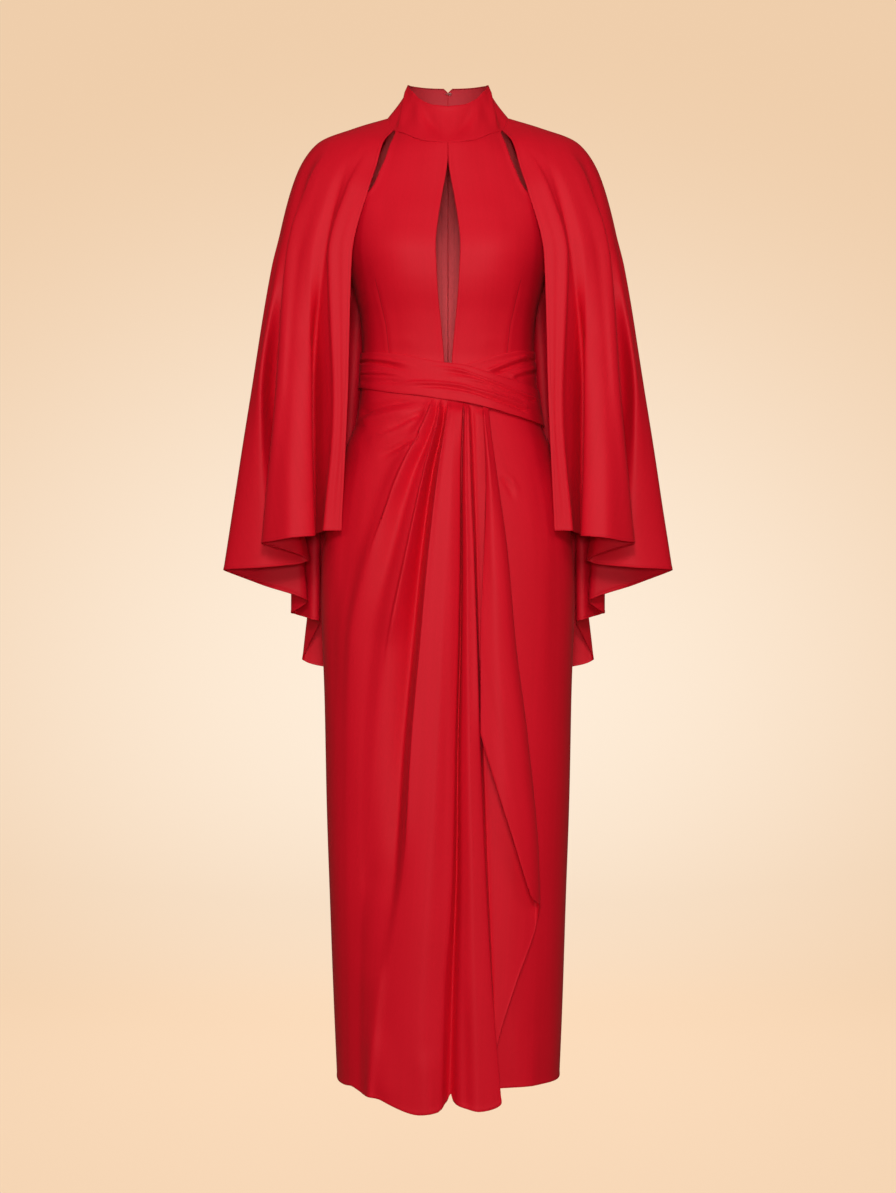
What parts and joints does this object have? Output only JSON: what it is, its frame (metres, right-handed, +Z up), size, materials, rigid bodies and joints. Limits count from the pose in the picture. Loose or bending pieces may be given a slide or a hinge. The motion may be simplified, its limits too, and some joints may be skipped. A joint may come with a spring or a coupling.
{
  "type": "cape sleeve gown",
  "caption": "Full-length wrap gown with a stand collar, keyhole halter bodice, draped waist, pleated skirt front with a waterfall fold, and half-circle cape sleeves.",
  "frame": {"origin": "midway between the high points of the shoulders, beside the neck", "axes": "+Z up along the gown's length, -Y is the front, +X is its right side as seen from the front"},
  "size_m": [0.634, 0.3037, 1.4413],
  "materials": {
    "crepe": "matte crepe",
    "tape": "woven tape",
    "zip_metal": "satin",
    "wire": "bright wire"
  },
  "bodies": {
    "gown": {"bodice_back_left": "crepe", "bodice_back_right": "crepe", "bodice_front_left": "crepe", "bodice_front_right": "crepe", "cape_left": "crepe", "cape_right": "crepe", "collar": "crepe", "eye": "wire", "hook": "wire", "skirt_back_left": "crepe", "skirt_back_right": "crepe", "skirt_front_overlay": "crepe", "skirt_front_under": "crepe", "waist_back_left": "crepe", "waist_back_right": "crepe", "waist_wrap_over": "crepe", "waist_wrap_under": "crepe", "zip_slider": "zip_metal", "zip_tape": "tape"},
    "pull_tab": {"zip_pull": "zip_metal"}
  },
  "joints": [
    {"name": "zip_pull_swing", "type": "hinge", "parent": "gown", "child": "pull_tab", "pos_m": [0, 0.05603, 0.022], "axis": [1, 0, 0], "range_deg": [0, 170]}
  ]
}
